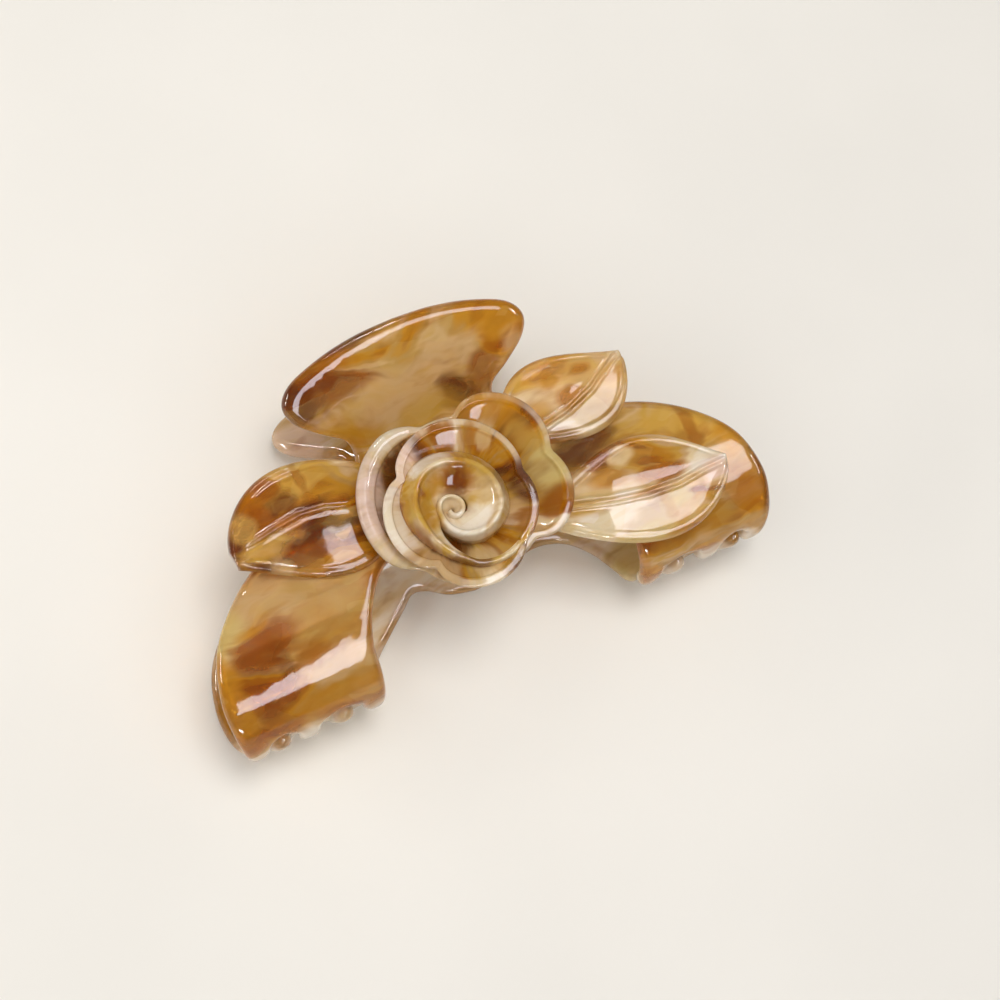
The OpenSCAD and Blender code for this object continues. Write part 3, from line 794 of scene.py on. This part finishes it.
def leaf(name, base, tip, z_base, z_tip, wide, peak, slope, rib, node, look):
    """A leaf from base to tip at heights z_base and z_tip, rising sideways by slope. wide and
    peak, each for the hollow and the full side, are its half width and the power of the length
    that sets where it is widest. rib is the midrib's (shares of the length, sideways offsets,
    share where it starts to fade)."""
    base, tip = np.array(base, float), np.array(tip, float)
    along = tip - base
    long = np.linalg.norm(along)
    u = along / long
    v = np.array([-u[1], u[0]])
    eased = np.sin(np.radians(np.linspace(0, 90, 9)))
    right = np.unique(np.round(np.concatenate([np.linspace(0, 0.82, 34), 0.82 + 0.18 * eased]), 4))
    across = np.concatenate([-right[::-1], right[1:]])
    rings = []
    for t in np.concatenate([[0.02], np.linspace(0.03, 0.985, 90)]):
        hollow, full = (wide[k] * math.sin(math.pi * t ** peak[k]) ** power + 0.15
                        for k, power in enumerate((1.05, 0.5)))
        for low in (False, True):
            w = across[::-1] if low else across
            half = np.where(w > 0, hollow, full)
            y = w * half
            body = LEAF / 2 * np.sqrt(np.maximum(0.0, 1 - (np.maximum(np.abs(w) - 0.8, 0) / 0.2) ** 2))
            off = y - np.interp(t, rib[0], rib[1])
            cut = (RIB_CUT * np.exp(-(off / 0.28) ** 2)
                   - RIB_RIDGE * np.exp(-((np.abs(off) - 0.7) / 0.32) ** 2))
            groove = 0.0 if low else cut * smoothstep(t, 1.0, rib[2])
            z = z_base + (z_tip - z_base) * t - 1.2 * w * w - (2 * t - 1) ** 2 + slope * y
            border = BORDER * np.exp(-(((1 - np.abs(w)) * half - 1.5) / 0.4) ** 2)
            z = z + (-body if low else body - groove - border)
            xy = base + np.outer(np.full(len(w), t * long), u) + np.outer(y, v)
            rings.append(np.column_stack([xy, z]))
    pairs = [np.vstack([rings[i], rings[i + 1]]) for i in range(0, len(rings), 2)]
    points = np.vstack(pairs)
    share = np.concatenate([across, across[::-1]])
    # The edges' share of the painted edge light and shade.
    painted_edge_share = np.tile(smoothstep(np.abs(share), 0.86, 1.0), len(pairs))
    return make(name, points, ring_faces(len(pairs), len(pairs[0])), "front", [node],
                look, rim=painted_edge_share)


leaf("left_leaf", (-10, -5.2), (-41.8, -8.8), 14.4, 17.2, (10.4, 11.4), (0.76, 1.27), 0,
     ([0, 0.32, 0.44, 0.58, 0.69, 1], [0.8, 0.2, -1.5, -2.4, -2.3, -1.6], 0.7), "leaf_left",
     leaf_left_look)
leaf("upper_right_leaf", (10.5, -5.2), (35.8, 0.7), 13, 15.5, (7.6, 9.4), (0.72, 1.45), 0.04,
     ([0, 0.22, 0.45, 0.66, 0.9, 1], [-1.8, -2.9, -3.1, -2.4, -0.5, 0], 0.9),
     "leaf_upper_right", leaf_upper_look)
leaf("lower_right_leaf", (8, -19.5), (45.2, -24.2), 15.3, 17, (7.7, 11), (1.23, 1.45), 0.06,
     ([0, 0.22, 0.39, 0.55, 0.72, 0.86, 1], [0, -1.1, -2.2, -2.6, -2.3, -1.1, -0.3], 0.9),
     "leaf_lower_right", leaf_lower_look)

# ---------------------------------------------------------------- stage, light, camera
FLOOR = 3.0  # half the floor's side, in metres
floor_mesh = bpy.data.meshes.new("floor")
floor_mesh.from_pydata([(-FLOOR, -FLOOR, 0), (FLOOR, -FLOOR, 0), (FLOOR, FLOOR, 0),
                        (-FLOOR, FLOOR, 0)], [], [(0, 1, 2, 3)])
floor = bpy.data.objects.new("floor", floor_mesh)
bpy.context.scene.collection.objects.link(floor)
floor_look = bpy.data.materials.new("pale_paper")
tree, shader = nodes_of(floor_look)
paper = tree.nodes.new("ShaderNodeTexCoord")
fleck = noise(tree, paper.outputs["Object"], 9.0, 3.0, 0.5)
tree.links.new(mix_colour(tree, map_range(tree, fleck.outputs[0], 0.35, 0.65, 0.0, 1.0),
                          srgb("EBE7DF"), srgb("EFEBE3")), shader.inputs["Base Color"])
shader.inputs["Roughness"].default_value = 0.85
floor_mesh.materials.append(floor_look)


def camera_axes(azimuth, elevation, roll):
    """The camera's right, up and back, in the clip frame."""
    a, e, r = (math.radians(v) for v in (azimuth, elevation, roll))
    back = np.array([math.sin(a) * math.cos(e), -math.cos(a) * math.cos(e), math.sin(e)])
    right = np.cross([0, 0, 1.0], back)
    right /= np.linalg.norm(right)
    up = np.cross(back, right)
    return (right * math.cos(r) + up * math.sin(r), up * math.cos(r) - right * math.sin(r), back)


RIGHT, UP, BACK = camera_axes(azimuth=-67.5, elevation=73.8, roll=43.5)
AIM = np.array([8.4, -13.9, 0.0])  # the point aimed at
CAMERA_AWAY = 311.7


def turned_like_camera(place):
    """A matrix at a place in the row frame, turned like the camera."""
    columns = [*(direction_to_row(d) for d in (RIGHT, UP, BACK)), place]
    return Matrix([[column[row] for column in columns] for row in range(3)] + [[0, 0, 0, 1]])


def softbox(name, right, up, depth, radiance, colour, diffuse=True, glossy=True):
    """A lit panel facing the clip. right and up are its (low, high) in the camera's axes, and
    depth its distance towards the camera, in millimetres from the point aimed at."""
    wide, tall = right[1] - right[0], up[1] - up[0]
    data = bpy.data.lights.new(name, "AREA")
    data.shape = "RECTANGLE"
    data.size, data.size_y = wide * MM, tall * MM
    data.energy = radiance * math.pi * wide * tall * MM * MM
    data.color = colour
    o = bpy.data.objects.new(name, data)
    o.visible_diffuse, o.visible_glossy = diffuse, glossy
    bpy.context.scene.collection.objects.link(o)
    centre = AIM + RIGHT * sum(right) / 2 + UP * sum(up) / 2 + BACK * depth
    o.matrix_world = turned_like_camera(to_row(centre))


# The windows and glints are seen only as reflections, and the other lights only light the clip.
LAVENDER = (0.9, 0.9, 1.0)
NEAR = 300
softbox("window", (130, 335), (-85, 125), NEAR, 8.5, LAVENDER, diffuse=False)
softbox("window_low", (127, 235), (-285, -85), NEAR, 10.5, LAVENDER, diffuse=False)
GLINTS = {"glint_top": ((-320, 20), (560, 620)), "glint_left": ((-560, -500), (-160, 160)),
          "glint_right": ((560, 620), (-60, 160)), "glint_low": ((0, 240), (-660, -600))}
for name, (right, up) in GLINTS.items():
    softbox(name, right, up, NEAR, 60.0, (1.0, 1.0, 1.0), diffuse=False)
softbox("key", (0, 260), (110, 400), 700, 12.0, (1.0, 0.985, 0.96), glossy=False)
softbox("ceiling", (-600, 600), (-600, 600), 800, 0.85, (1.0, 0.98, 0.96), glossy=False)
softbox("left_fill", (-620, -380), (-300, 300), 330, 3.2, (1.0, 0.98, 0.95), glossy=False)

world = bpy.data.worlds.new("studio")
bpy.context.scene.world = world
world.use_nodes = True
background = world.node_tree.nodes["Background"]
background.inputs["Color"].default_value = (0.9, 0.92, 0.96, 1)
background.inputs["Strength"].default_value = 0.2

camera_data = bpy.data.cameras.new("camera")
camera_data.sensor_width, camera_data.lens = 36.0, 62.05
camera_data.clip_start, camera_data.clip_end = 0.01, 10.0
camera = bpy.data.objects.new("camera", camera_data)
bpy.context.scene.collection.objects.link(camera)
camera.matrix_world = turned_like_camera(to_row(AIM + BACK * CAMERA_AWAY))
bpy.context.scene.camera = camera
bpy.context.scene.view_settings.view_transform = "Standard"
